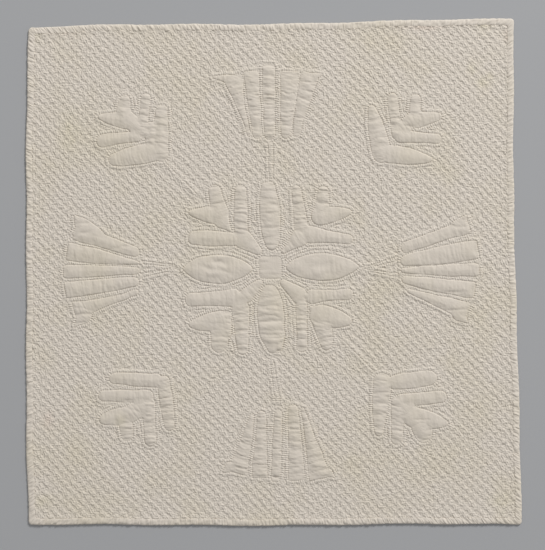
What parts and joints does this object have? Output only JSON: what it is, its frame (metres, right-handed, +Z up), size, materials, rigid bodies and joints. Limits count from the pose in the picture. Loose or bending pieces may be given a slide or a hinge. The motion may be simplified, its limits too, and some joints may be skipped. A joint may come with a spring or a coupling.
{
  "type": "crib quilt",
  "caption": "White whole-cloth crib quilt with raised leaf, petal and fan motifs, fine crosshatch quilting and a narrow binding, lying flat.",
  "frame": {"origin": "on the surface the quilt lies on, under the middle of its outline's box", "axes": "+Z up out of the quilted face, +Y towards the top edge of the design, +X to the right of the design seen from the face"},
  "size_m": [0.7456, 0.7628, 0.007],
  "materials": {
    "quilted_cotton": "matt",
    "cotton_binding": "matt"
  },
  "bodies": {
    "root": {"quilt_body": "quilted_cotton", "binding_bottom": "cotton_binding", "binding_right": "cotton_binding", "binding_top": "cotton_binding", "binding_left": "cotton_binding"}
  },
  "joints": []
}
